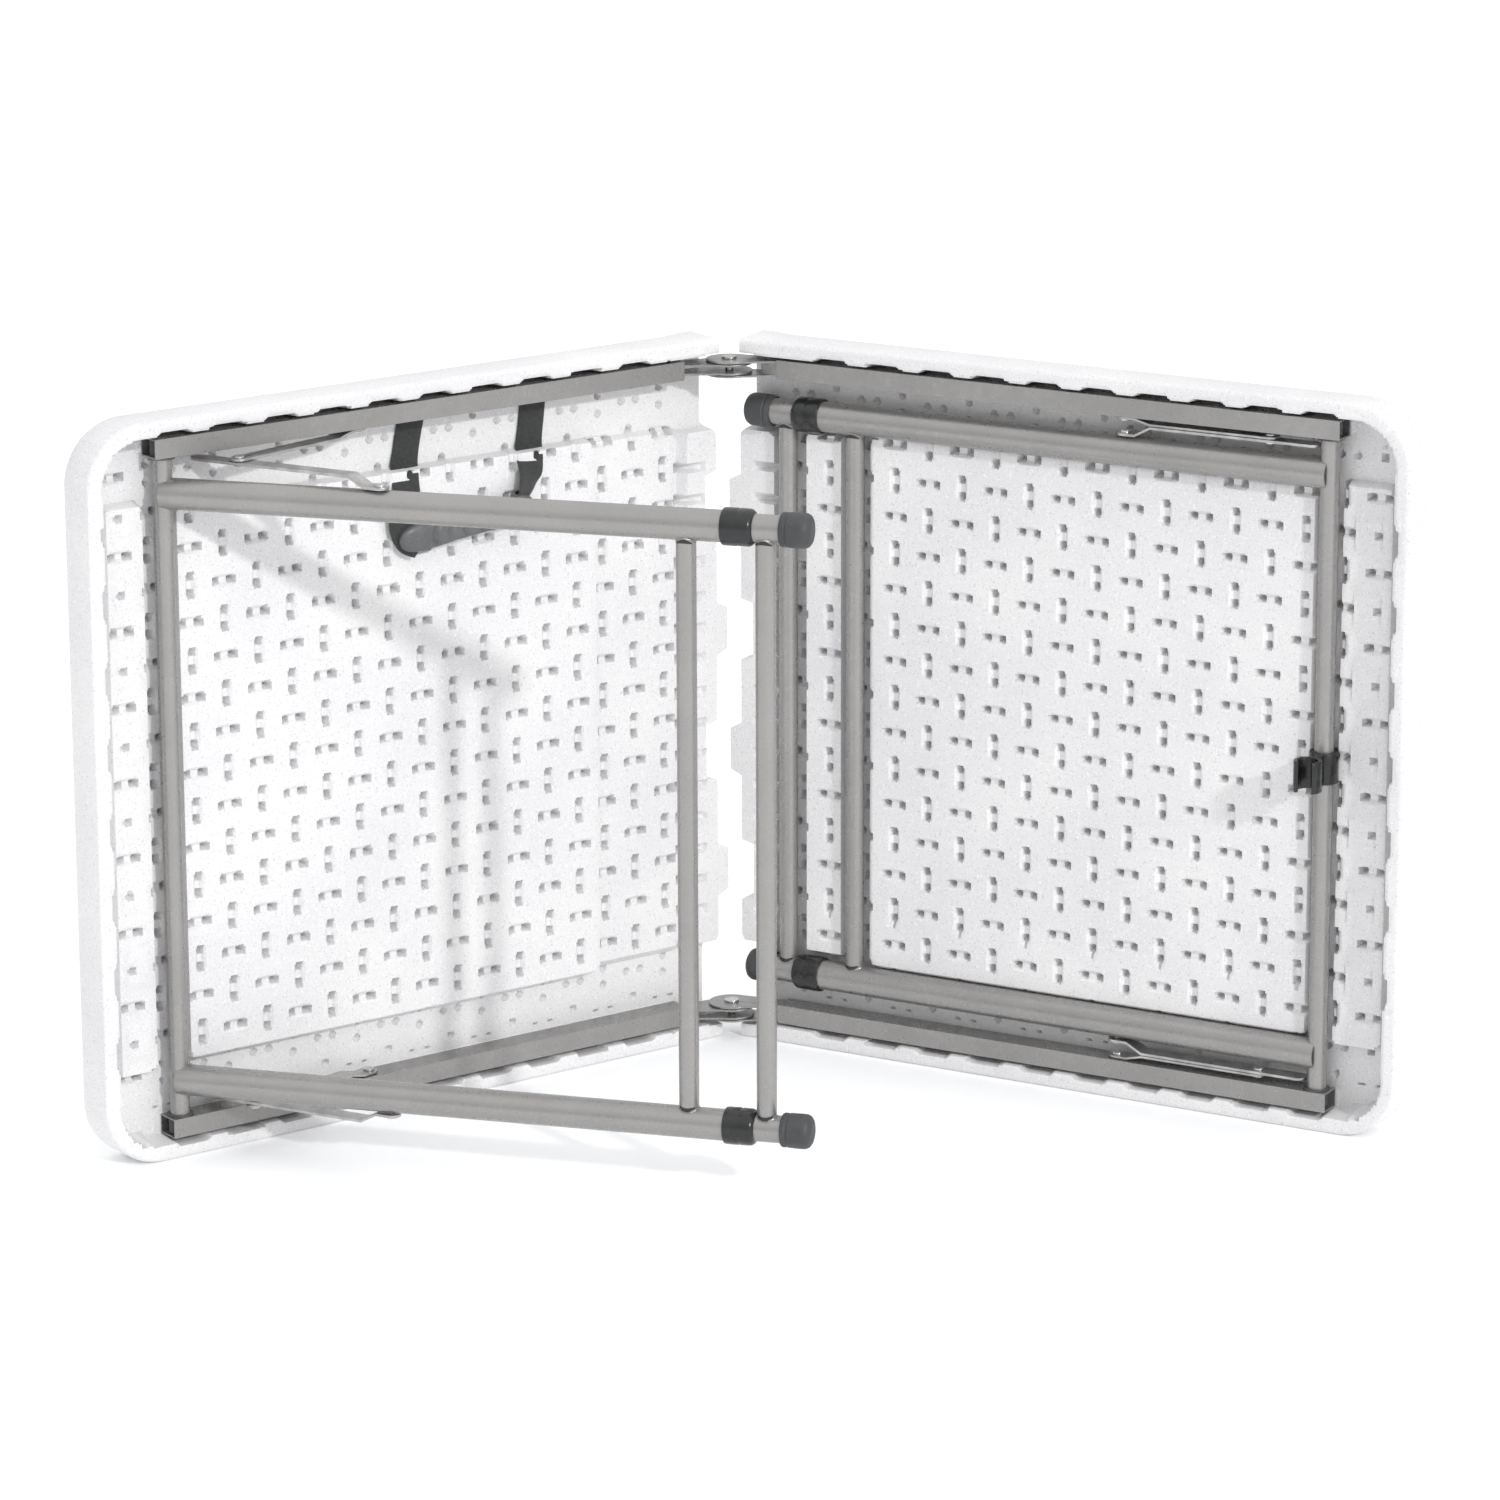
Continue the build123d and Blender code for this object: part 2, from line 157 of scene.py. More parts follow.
def grid_lines(start, stop, origin, extra):
    """Grid lines that crowd round the dimples, plus the lines where walls stand."""
    offsets = [0, 1.8, 3.4, 5.2, 7.4, 9.6, 11.2]
    offsets = sorted(set(offsets + [-x for x in offsets] + [15.5]))
    first = origin - CELL * math.ceil((origin - start) / CELL)
    lines = []
    while first < stop + CELL:
        lines += [first + x for x in offsets]
        first += CELL
    keep = [x for x in lines if start < x < stop and min(abs(x - e) for e in extra) > 0.9]
    return np.array(sorted(keep + [e for e in extra if start <= e <= stop]))


def seam_line(side, w):
    """Where the moulding ends at the fold, for an array of places across the table."""
    mirror = np.minimum(w, WIDTH - w)
    edge = SEAM_EDGE + (SEAM_SETBACK - SEAM_EDGE) * smooth((SETBACK_WIDTH + 6 - mirror) / 12)
    for place in TONGUES[side]:
        out = np.clip((TONGUE_HALF - np.abs(w - place)) / TONGUE_SLOPE, 0, 1)
        edge = edge - (TONGUE_REACH + SEAM_EDGE - 0.2) * out
    for place in POCKETS[side]:
        inward = np.clip((POCKET_HALF - np.abs(w - place)) / 3.0 + 0.5, 0, 1)
        edge = edge + (POCKET_REACH - SEAM_EDGE) * inward
    return edge


def outline_depth(u, w):
    """Distance inside the outer three edges."""
    across = np.minimum(w, WIDTH - w)
    end = HALF_LENGTH - u
    depth = np.minimum(across, end)
    corner = (across < CORNER) & (end < CORNER)
    arc = CORNER - np.hypot(CORNER - across, CORNER - end)
    return np.where(corner, arc, depth)


def raised(height, u, w, run, top, span, slope, radius=6.0):
    """Lay a flat-topped raised band with sloping sides over the height field."""
    du = np.maximum(run[0] + radius - u, u - run[1] + radius)
    dw = np.maximum(span[0] + radius - w, w - span[1] + radius)
    outside = np.hypot(np.maximum(du, 0), np.maximum(dw, 0)) + np.minimum(np.maximum(du, dw), 0)
    blend = smooth((outside - radius) / slope)
    return np.minimum(height, top + (height - top) * blend)


def dimples(height, side, u, w):
    """Sink the lattice of slots with a deeper dot at each end."""
    u0, w0 = LATTICE[side]
    col, line = np.round((u - u0) / CELL), np.round((w - w0) / CELL)
    du, dw = u - u0 - col * CELL, w - w0 - line * CELL
    flat = (col + line) % 2 == 0
    along, across = np.where(flat, np.abs(du), np.abs(dw)), np.where(flat, np.abs(dw), np.abs(du))
    slot = np.hypot(np.maximum(along - DOT_REACH, 0), across)
    dot = np.hypot(along - DOT_REACH, across)
    middle = (w > 76) & (w < WIDTH - 72) & (u > 40) & (u < 566)
    margin = ~middle & (w > 36) & (w < WIDTH - 36) & (u > 40) & (u < 590)
    end = (u >= 566) & (u < 594) & (w > 40) & (w < WIDTH - 40)
    deep = 3.2 * smooth((4.0 - slot) / 1.3) + 9.5 * smooth((3.6 - dot) / 1.4)
    small = 5.5 * smooth((3.0 - dot) / 1.5)
    single = 8.0 * smooth((3.6 - np.hypot(du, dw)) / 1.8)
    height = height + np.where(middle, deep, 0.0) + np.where(margin & ~end, small, 0.0)
    return height + np.where(end, np.where(flat, deep, single), 0.0)


def seam_dashes(height, u, w):
    """Short ramped slots along the block at the fold."""
    from_middle = w - WIDTH / 2
    nearest = SEAM_DASH_PITCH * np.round(from_middle / SEAM_DASH_PITCH)
    across = np.abs(from_middle - nearest)
    inset = SETBACK_WIDTH + 16
    inside = (w > inset) & (w < WIDTH - inset) & (u < 36) & (u > 12)
    depth = 4.0 + 7.0 * smooth((u - 13) / 16)
    return height + np.where(inside, depth * smooth((3.6 - across) / 1.6), 0.0)


def outer_patches(height, side, u, w):
    """Low square pads in the margin beyond the pivot tube."""
    u0, w0 = LATTICE[side]
    parity = round((OUTER_ROW - u0) / CELL) + 1
    line = np.round((w - w0) / CELL)
    odd = (line + parity) % 2 == 0
    dw = np.abs(w - w0 - line * CELL)
    pad = odd & (w > 84) & (w < WIDTH - 84) & (u > 560) & (u < 584)
    edge = np.minimum(np.minimum(u - 560, 584 - u), 14.0 - dw)
    return height - np.where(pad, 1.2 * smooth(edge / 1.2), 0.0)


def skirt_wall(height, side, u, w):
    """Raise the skirt round three sides, its inner wall stepped back in a row of slots."""
    depth = outline_depth(u, w)
    end = HALF_LENGTH - u
    across = np.minimum(w, WIDTH - w)
    phase = np.abs((u - 70.0) % SIDE_SLOT_PITCH - SIDE_SLOT_PITCH / 2)
    side_slot = smooth((SIDE_SLOT / 2 - phase) / 6) * (u > 60) * (u < 560)
    u0, w0 = LATTICE[side]
    line = np.round((w - w0) / CELL)
    phase_end = np.abs(w - w0 - line * CELL)
    odd = (line + round((OUTER_ROW - u0) / CELL)) % 2 == 1
    end_slot = smooth((12.5 - phase_end) / 3) * odd * (across > 80)
    thick = np.where(across < end, SKIRT - 3.4 * side_slot, END_SKIRT - 3.2 * end_slot)
    thick = np.where((across < CORNER) & (end < CORNER), CORNER_SKIRT, thick)
    wall = LIP + (FLOOR - LIP) * smooth((depth - thick + 2.0) / 2.0)
    outer = RIM - np.sqrt(np.maximum(RIM ** 2 - np.maximum(RIM - depth, 0) ** 2, 0))
    inner = 1.2 * smooth((depth - thick + 4.5) / 2.5)
    lip = LIP + outer + inner
    wall = np.where(depth < thick - 2.0, lip, np.maximum(wall, lip))
    return np.where(depth < thick + 0.5, np.minimum(height, wall), height)


def underside(side, u, w):
    """Height of the underside for arrays of places on one half."""
    height = np.full(u.shape, FLOOR)
    across = np.minimum(w, WIDTH - w)
    rail_seat = (across > 15) & (across < 31) & (u > 40) & (u < 556)
    height = np.where(rail_seat, RAIL_SEAT, height)
    bands = ((BAND_RUN[side], BAND_TOP[side], BAND_INSET, 1.5),
             (FIELD_RUN, FIELD, FIELD_INSET, 2.5),
             ((OUTER_START[side], OUTER_STOP), OUTER_FIELD, OUTER_INSET, 1.5),
             (SEAM_BLOCK, FIELD, SETBACK_WIDTH + 1, 2.5))
    for run, top, inset, slope in bands:
        height = raised(height, u, w, run, top, (inset, WIDTH - inset), slope)
    height = outer_patches(height, side, u, w)
    height = dimples(height, side, u, w)
    height = seam_dashes(height, u, w)
    height = skirt_wall(height, side, u, w)
    from_hinge = np.sqrt(np.maximum(SCOOP_RADIUS ** 2 - u ** 2, 0))
    by_hinge = (np.abs(across - HINGE_INSET) < SCOOP_HALF) & (u < SCOOP_RADIUS)
    return np.where(by_hinge, np.maximum(height, from_hinge), height)


def panel_grid(side):
    """Grid of the underside, with the places outside the outline moved onto it."""
    u0, w0 = LATTICE[side]
    walls_u = [HALF_LENGTH - x for x in corner_lines()]
    walls_u += [HALF_LENGTH - x for x in (4.0, 12.5, 14.0, 16.4)]
    walls_u += [-10.6, SEAM_EDGE, 9.0, 12.0, 22.5, 40, 556]
    walls_w = corner_lines() + [4.0, 8.6, 10.8, 11.9, 13.2, 15.3, 31.0, 36.1]
    walls_w = sorted(set(walls_w + [WIDTH - x for x in walls_w]))
    tongue_walls = (TONGUE_HALF, TONGUE_HALF - TONGUE_SLOPE)
    pocket_walls = (POCKET_HALF + 1.5, POCKET_HALF - 1.5)
    for places, reaches in ((TONGUES[side], tongue_walls), (POCKETS[side], pocket_walls)):
        for place in places:
            walls_w += [place + s * x for s in (-1, 1) for x in reaches]
    us = grid_lines(-10.6, HALF_LENGTH, u0, walls_u)
    ws = grid_lines(0.0, WIDTH, w0, walls_w)
    u, w = np.meshgrid(us, ws, indexing="ij")
    edge = seam_line(side, w)
    beyond = (u < edge - 1e-6) | (outline_depth(u, w) < -1e-6)
    u = np.maximum(u, edge)
    across, end = np.minimum(w, WIDTH - w), HALF_LENGTH - u
    far = np.hypot(CORNER - across, CORNER - end)
    outside = (across < CORNER) & (end < CORNER) & (far > CORNER)
    pull = np.where(outside, CORNER / np.maximum(far, 1e-6), 1.0)
    new_end = CORNER - (CORNER - end) * pull
    new_across = CORNER - (CORNER - across) * pull
    u = np.where(outside, HALF_LENGTH - new_end, u)
    w = np.where(outside, np.where(w < WIDTH / 2, new_across, WIDTH - new_across), w)
    return u, w, beyond


def boundary_loop(bm):
    """The open border of the underside, in order."""
    edges = [e for e in bm.edges if len(e.link_faces) == 1]
    after = {}
    for e in edges:
        loop = e.link_loops[0]
        after[loop.vert] = loop.link_loop_next.vert
    start = next(iter(after))
    order, here = [start], after[start]
    while here is not start:
        order.append(here)
        here = after[here]
    return order


def outer_shell(bm, border):
    """Sides and table top, grown from the border of the underside."""
    flat = np.array([(v.co.x, v.co.z) for v in border])
    ahead, behind = np.roll(flat, -2, 0), np.roll(flat, 2, 0)
    run = ahead - behind
    run /= np.maximum(np.linalg.norm(run, axis=1), 1e-6)[:, None]
    inward = np.stack([-run[:, 1], run[:, 0]], 1)
    middle = np.array([HALF_LENGTH / 2, WIDTH / 2])
    if np.sum(inward * (middle - flat)) < 0:
        inward = -inward
    to_seam = smooth((flat[:, 0] - 14) / 30)
    radius = 2.5 + 6.5 * to_seam
    last = border
    steps = [math.radians(a) for a in (0, 18, 36, 54, 72, 90)]
    for a in steps + [None]:                  # round the edge, then one ring on the flat top
        inset = radius * (1 - math.cos(a)) if a is not None else radius + 1.5
        level = TOP - radius * (1 - math.sin(a)) if a is not None else np.full(len(flat), TOP)
        place = flat + inward * inset[:, None]
        ring = [bm.verts.new((p[0], n, p[1])) for p, n in zip(place, level)]
        count = len(ring)
        for i in range(count):
            j = (i + 1) % count
            bm.faces.new((last[i], last[j], ring[j], ring[i]))
        last = ring
    edges = [bm.edges.get((last[i], last[(i + 1) % len(last)])) for i in range(len(last))]
    bmesh.ops.triangle_fill(bm, use_beauty=True, use_dissolve=False, edges=edges)


def moulded_panel(side, material):
    """One half's moulding: its underside as a height field, then its sides and top."""
    u, w, beyond = panel_grid(side)
    n = underside(side, u, w)
    bm = bmesh.new()
    rows, cols = u.shape
    verts = [[bm.verts.new((u[i, j], n[i, j], w[i, j])) for j in range(cols)] for i in range(rows)]
    for i in range(rows - 1):
        for j in range(cols - 1):
            if beyond[i:i + 2, j:j + 2].all():
                continue
            bm.faces.new((verts[i][j], verts[i + 1][j], verts[i + 1][j + 1], verts[i][j + 1]))
    bmesh.ops.delete(bm, geom=[v for v in bm.verts if not v.link_faces], context="VERTS")
    bmesh.ops.remove_doubles(bm, verts=bm.verts, dist=0.02)
    outer_shell(bm, boundary_loop(bm))
    for v in bm.verts:
        v.co = row(side, *v.co)
    piece = new_object(side + "_table_half", bm, material, smooth_angle=34.0)
    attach(piece, side + "_half")
    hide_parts(side + "_deck", side + "_raised_fields", side + "_skirt")


# ---------------------------------------------------------------- materials
class Shader:
    """A Principled material and short ways to add texture nodes to it."""

    def __init__(self, name):
        self.material = bpy.data.materials.new(name)
        self.material.use_nodes = True
        self.tree = self.material.node_tree
        self.bsdf = self.tree.nodes["Principled BSDF"]
        self.coords = self.tree.nodes.new("ShaderNodeTexCoord").outputs["Object"]

    def node(self, kind, inputs=None, **settings):
        made = self.tree.nodes.new(kind)
        for key, value in settings.items():
            setattr(made, key, value)
        for key, value in (inputs or {}).items():
            if isinstance(value, bpy.types.NodeSocket):
                self.tree.links.new(value, made.inputs[key])
            else:
                made.inputs[key].default_value = value
        return made

    def noise(self, scale, detail=2.0, roughness=0.5, coords=None):
        vector = coords or self.coords
        inputs = {"Vector": vector, "Scale": scale, "Detail": detail, "Roughness": roughness}
        return self.node("ShaderNodeTexNoise", inputs).outputs["Fac"]

    def stretch(self, scale):
        inputs = {"Vector": self.coords, "Scale": scale}
        return self.node("ShaderNodeMapping", inputs).outputs["Vector"]

    def span(self, value, low, high, to_low=0.0, to_high=1.0):
        inputs = {"Value": value, "From Min": low, "From Max": high,
                  "To Min": to_low, "To Max": to_high}
        return self.node("ShaderNodeMapRange", inputs).outputs["Result"]

    def mix(self, factor, first, second):
        made = self.node("ShaderNodeMix", data_type="RGBA")
        for index, value in ((0, factor), (6, first), (7, second)):
            if isinstance(value, bpy.types.NodeSocket):
                self.tree.links.new(value, made.inputs[index])
            else:
                made.inputs[index].default_value = value
        return made.outputs[2]

    def bump(self, height, strength, distance, under=None):
        inputs = {"Height": height, "Strength": strength, "Distance": distance}
        if under:
            inputs["Normal"] = under
        return self.node("ShaderNodeBump", inputs).outputs["Normal"]

    def edges(self, low=0.52, high=0.60):
        point = self.node("ShaderNodeNewGeometry").outputs["Pointiness"]
        return self.span(point, low, high)

    def finish(self, colour, rough, normal, metallic=0.0, **sockets):
        self.tree.links.new(colour, self.bsdf.inputs["Base Color"])
        self.tree.links.new(rough, self.bsdf.inputs["Roughness"])
        self.tree.links.new(normal, self.bsdf.inputs["Normal"])
        self.bsdf.inputs["Metallic"].default_value = metallic
        for name, value in sockets.items():
            self.bsdf.inputs[name.replace("_", " ")].default_value = value
        return self.material


def grey(value, warm=0.0):
    """A grey, warmer by a part of its value, or cooler if that is negative."""
    return (value * (1 + warm), value, value * (1 - warm), 1.0)


def panel_plastic():
    """Near-white moulded plastic with a fine granite speckle and a pebbled skin."""
    s = Shader("moulded_panel")
    cloud = s.noise(9.0, 3.0)
    base = s.mix(s.span(cloud, 0.35, 0.65), (0.705, 0.70, 0.708, 1), (0.765, 0.76, 0.762, 1))
    speck = s.span(s.noise(620.0, 2.0, 0.7), 0.58, 0.68)
    base = s.mix(s.span(speck, 0.0, 1.0, 0.0, 0.6), base, (0.42, 0.42, 0.43, 1))
    pale = s.span(s.noise(480.0, 1.0), 0.62, 0.70, 0.0, 0.6)
    base = s.mix(pale, base, (0.88, 0.88, 0.875, 1))
    base = s.mix(s.span(s.edges(0.53, 0.62), 0, 1, 0.0, 0.3), base, (0.86, 0.86, 0.855, 1))
    rough = s.span(s.noise(60.0, 3.0), 0.3, 0.7, 0.38, 0.56)
    wavy = s.bump(s.noise(16.0, 2.0), 0.35, 0.0016)
    pebble = s.bump(s.noise(420.0, 3.0, 0.6), 0.45, 0.0006, wavy)
    return s.finish(base, rough, pebble, Specular_IOR_Level=0.45)


def frame_paint(name="frame_paint", tone=0.262, warm=0.022):
    """Warm grey satin powder coat with a faint metallic grain."""
    s = Shader(name)
    cloud = s.span(s.noise(22.0, 3.0), 0.3, 0.7)
    base = s.mix(cloud, grey(tone * 0.92, warm), grey(tone * 1.08, warm))
    flake = s.span(s.noise(1500.0, 1.0), 0.58, 0.72, 0.0, 0.35)
    base = s.mix(flake, base, grey(tone * 1.6, warm))
    dark = s.span(s.noise(1100.0, 1.0), 0.50, 0.85, 0.0, 0.16)
    base = s.mix(dark, base, grey(tone * 0.6, warm))
    base = s.mix(s.span(s.edges(), 0, 1, 0.0, 0.4), base, grey(tone * 1.5, warm))
    rough = s.span(s.noise(140.0, 2.0), 0.3, 0.7, 0.24, 0.38)
    orange = s.bump(s.noise(420.0, 2.0), 0.30, 0.0003)
    fine = s.bump(s.noise(1300.0, 1.0), 0.22, 0.0002, orange)
    return s.finish(base, rough, fine, metallic=0.62)


def bright_steel(name, tone, rough_low, rough_high, brush):
    """Zinc-plated steel, brushed one way, with dull patches."""
    s = Shader(name)
    lines = s.noise(1.0, 3.0, 0.6, s.stretch(brush))
    patch = s.noise(70.0, 3.0)
    base = s.mix(s.span(patch, 0.35, 0.65), grey(tone * 0.8, 0.02), grey(tone * 1.15, 0.01))
    base = s.mix(s.span(s.noise(700.0), 0.62, 0.74, 0.0, 0.5), base, grey(tone * 0.35, 0.06))
    rough = s.span(lines, 0.3, 0.7, rough_low, rough_high)
    normal = s.bump(lines, 0.25, 0.0002, s.bump(patch, 0.2, 0.0005))
    return s.finish(base, rough, normal, metallic=0.9)


def dark_plastic(name, tone, rough_low, rough_high, grain):
    """Moulded plastic with a fine grain, paler and scuffed along its edges."""
    s = Shader(name)
    cloud = s.span(s.noise(45.0, 3.0), 0.3, 0.7)
    base = s.mix(cloud, grey(tone * 0.8, -0.02), grey(tone * 1.25, -0.04))
    scuff = s.span(s.noise(260.0, 4.0, 0.7), 0.58, 0.75, 0.0, 0.45)
    base = s.mix(scuff, base, grey(tone * 2.2, -0.02))
    base = s.mix(s.span(s.edges(0.55, 0.66), 0, 1, 0.0, 0.5), base, grey(tone * 2.6, -0.02))
    rough = s.span(s.noise(90.0, 3.0), 0.3, 0.7, rough_low, rough_high)
    normal = s.bump(s.noise(grain, 2.0), 0.35, 0.0003, s.bump(s.noise(30.0), 0.2, 0.0008))
    return s.finish(base, rough, normal)


def webbing_cloth():
    """Black polypropylene webbing with a close plain weave."""
    s = Shader("webbing")
    wave = {"Scale": 0.5, "Distortion": 0.4}
    warp = s.node("ShaderNodeTexWave", {"Vector": s.stretch((900, 560, 0)), **wave})
    weft = s.node("ShaderNodeTexWave", {"Vector": s.stretch((0, 0, 900)), **wave},
                  bands_direction="Z")
    weave = s.node("ShaderNodeMath", operation="MULTIPLY")
    s.tree.links.new(warp.outputs["Fac"], weave.inputs[0])
    s.tree.links.new(weft.outputs["Fac"], weave.inputs[1])
    base = s.mix(weave.outputs[0], (0.010, 0.011, 0.011, 1), (0.060, 0.063, 0.060, 1))
    base = s.mix(s.span(s.noise(1400.0), 0.62, 0.75, 0.0, 0.5), base, (0.13, 0.13, 0.125, 1))
    rough = s.span(s.noise(300.0), 0.3, 0.7, 0.62, 0.85)
    normal = s.bump(weave.outputs[0], 0.6, 0.0004)
    return s.finish(base, rough, normal, Sheen_Weight=0.25, Sheen_Roughness=0.5)


MATERIALS = {
    "moulded_panel": panel_plastic(),
    "frame_paint": frame_paint(),
    "hinge_steel": frame_paint("hinge_steel", 0.285, 0.02),
    "brace_steel": bright_steel("brace_steel", 0.46, 0.26, 0.46, (60, 60, 1400)),
    "zinc_steel": bright_steel("zinc_steel", 0.62, 0.18, 0.36, (900, 900, 900)),
    "black_plastic": dark_plastic("black_plastic", 0.016, 0.16, 0.30, 900.0),
    "latch_plastic": dark_plastic("latch_plastic", 0.012, 0.20, 0.36, 1100.0),
    "grip_plastic": dark_plastic("grip_plastic", 0.11, 0.32, 0.5, 700.0),
    "foot_rubber": dark_plastic("foot_rubber", 0.050, 0.45, 0.62, 700.0),
    "webbing": webbing_cloth(),
    "nylon": dark_plastic("nylon", 0.05, 0.35, 0.5, 800.0),
}


def dress_nodes():
    """Give every CAD node its slot's material."""
    for part in frame["record"]["subparts"]:
        thing = frame["nodes"][part["node"]]
        thing.data.materials.clear()
        thing.data.materials.append(MATERIALS[part["material_slot"]])


# ---------------------------------------------------------------- fittings
def around_leg(side, w0, profile, steps=40):
    """Rings round a leg for a list of (distance from pivot, radius)."""
    return [[leg(side, d, r * a, w0 + r * b) for a, b in circle(1.0, steps)] for d, r in profile]


def fitted(name, bm, slot, body, replaced, smooth_angle=40.0, material=None):
    """Finish a piece that rides on a body and stands for the replaced nodes, if any."""
    piece = new_object(name, bm, MATERIALS[material or slot], smooth_angle)
    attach(piece, body)
    if replaced:
        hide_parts(*replaced)


# Distance from the pivot and radius
COLLAR_PROFILE = (
    (459.2, 12.75), (458.9, 13.9), (459.5, 14.6), (461.0, 14.95), (470.5, 14.95),
    (471.3, 14.6), (472.1, 14.6), (472.9, 14.9), (480.6, 14.7), (482.0, 14.2),
    (483.6, 12.9), (484.2, 11.8), (484.2, 11.05), (476.1, 11.05), (476.1, 12.75),
)
CAP_PROFILE = (
    (528.0, 11.02), (505.8, 11.02), (505.4, 12.4), (505.9, 13.2), (507.0, 13.75),
    (509.4, 13.75), (510.0, 13.3), (511.0, 13.3), (511.6, 13.85), (522.0, 14.0), (525.4, 13.8),
    (528.0, 12.5), (529.6, 10.2), (530.4, 7.4), (530.6, 3.6), (530.6, 0.3),
)


def collars(side):
    bm = bmesh.new()
    for w0 in (LEG_INSET, WIDTH - LEG_INSET):
        loft(bm, around_leg(side, w0, COLLAR_PROFILE), closed=True)
    fitted(side + "_collar_rings", bm, "black_plastic", side + "_leg_frame",
           [side + "_collars"], 30)


def foot_caps(side):
    bm = bmesh.new()
    for w0 in (LEG_INSET, WIDTH - LEG_INSET):
        loft(bm, around_leg(side, w0, CAP_PROFILE))
    fitted(side + "_rubber_feet", bm, "black_plastic", side + "_lower_legs",
           [side + "_foot_caps"], 30, material="foot_rubber")


def weld_ring(bm, side, d, leg_radius, w0, inward, bead=0.8, steps=48):
    """Bead of weld that follows the saddle where a cross tube meets a leg."""
    rings = []
    for i in range(steps):
        a = 2 * math.pi * i / steps
        along, off = math.cos(a), math.sin(a)
        seat = math.sqrt(max(leg_radius ** 2 - (TUBE_RADIUS * off) ** 2, 0.0))
        size = bead * (1 + 0.22 * math.sin(9 * a + 5 * w0) + 0.08 * math.sin(23 * a))
        ring = []
        for b, c in circle(size, 8):
            r = TUBE_RADIUS + b
            ring.append(leg(side, d + r * along, r * off, w0 + inward * (seat + c)))
        rings.append(ring)
    loft(bm, rings, closed=True)


def weld_beads(side):
    for name, d, radius, body in CROSS_TUBES:
        bm = bmesh.new()
        weld_ring(bm, side, d, radius, LEG_INSET, 1)
        weld_ring(bm, side, d, radius, WIDTH - LEG_INSET, -1)
        fitted(side + "_" + name + "_welds", bm, "frame_paint", side + body, [])


def gap_shade_strips(side):
    """Dark strips of black plastic, painted shade for the gap on the open side where a cross
    tube's crimped end meets its leg.
    """
    section = ((-0.5, -1.0), (0.35, -1.0), (0.45, 0.0), (0.35, 1.0), (-0.5, 1.0))
    for name, d, radius, body in CROSS_TUBES:
        bm = bmesh.new()
        for w0, inward in ((LEG_INSET, 1), (WIDTH - LEG_INSET, -1)):
            rings = []
            for i in range(13):
                a = math.radians(90 + 50 * (i / 6 - 1))
                along, off = math.cos(a), math.sin(a)
                seat = math.sqrt(radius ** 2 - (TUBE_RADIUS * off) ** 2) + 2.4
                thin = 0.5 + 1.0 * math.sin(math.pi * i / 12)
                ring = []
                for b, c in section:
                    r = TUBE_RADIUS + b
                    ring.append(leg(side, d + r * along, r * off, w0 + inward * (seat + c * thin)))
                rings.append(ring)
            loft(bm, rings)
        # these black strips are painted shade in the gap, not parts of the frame
        fitted(side + "_" + name + "_painted_gap_shade", bm, "black_plastic", side + body, [])


def smooth_path(points, per_span=10):
    """Catmull-Rom line through points."""
    pts = [Vector(p) for p in points]
    pts = [pts[0] * 2 - pts[1]] + pts + [pts[-1] * 2 - pts[-2]]
    line = []
    for a, b, c, d in zip(pts, pts[1:], pts[2:], pts[3:]):
        for i in range(per_span):
            t = i / per_span
            line.append(0.5 * ((2 * b) + (c - a) * t + (2 * a - 5 * b + 4 * c - d) * t * t
                               + (3 * b - a - 3 * c + d) * t ** 3))
    return line + [pts[-2]]


def band_ring(centre, across, out, half, thick):
    """Flat rounded section of webbing."""
    ring = []
    for x in (-1, -0.94, -0.5, 0, 0.5, 0.94, 1):
        ring.append((x * half, thick / 2 * (0.55 if abs(x) == 1 else 1)))
    ring += [(x, -y) for x, y in reversed(ring)]
    return [centre + across * x + out * y for x, y in ring]


def webbing_band(bm, points, widths, twists, thick=1.2):
    """Webbing along (u, n, w) points, with its half width and its twist at each point."""
    line = smooth_path(points)
    count = len(line) - 1
    rings = []
    for i, centre in enumerate(line):
        t = i / count * (len(widths) - 1)
        k = min(int(t), len(widths) - 2)
        half = widths[k] + (widths[k + 1] - widths[k]) * (t - k)
        twist = twists[k] + (twists[k + 1] - twists[k]) * (t - k)
        ahead = (line[min(i + 1, count)] - line[max(i - 1, 0)]).normalized()
        across = Vector((1, 0, 0))
        across = (across - ahead * across.dot(ahead)).normalized()
        across = Matrix.Rotation(math.radians(twist), 3, ahead) @ across
        ring = band_ring(centre, across, ahead.cross(across), half, thick)
        rings.append([row("left", *p) for p in ring])
    loft(bm, rings)


# Points (u, n, w) from the rail to the grip, with half widths and twists in degrees along them
STRAPS = (
    ([(297, 29.6, 577), (301, 29.6, 560), (305, 28.6, 541), (310, 20.5, 529), (314, 12.6, 517),
      (318, 11.6, 503), (319, 11.4, 490), (315, 10.6, 478), (304, 9.6, 470.5)],
     (12.5, 12.5, 12.5, 12.5, 12.5, 12.4, 12.0, 10.5, 8.5), (0, 0, 0, 0, 0, 0, -4, -10, -14)),
    ([(178, 29.6, 577), (180, 29.6, 560), (183, 28.6, 541), (188, 20.5, 529), (193, 12.8, 519),
      (197, 11.2, 509), (202, 10.0, 499), (206, 9.0, 491)],
     (12.5, 12.5, 12.5, 12.5, 11.6, 9.6, 7.4, 6.0), (0, 0, 0, 2, 8, 18, 28, 30)),
)


def straps():
    bm = bmesh.new()
    for points, widths, twists in STRAPS:
        webbing_band(bm, points, widths, twists)
    fitted("carry_straps", bm, "webbing", "handle", ["handle_straps"], 50)


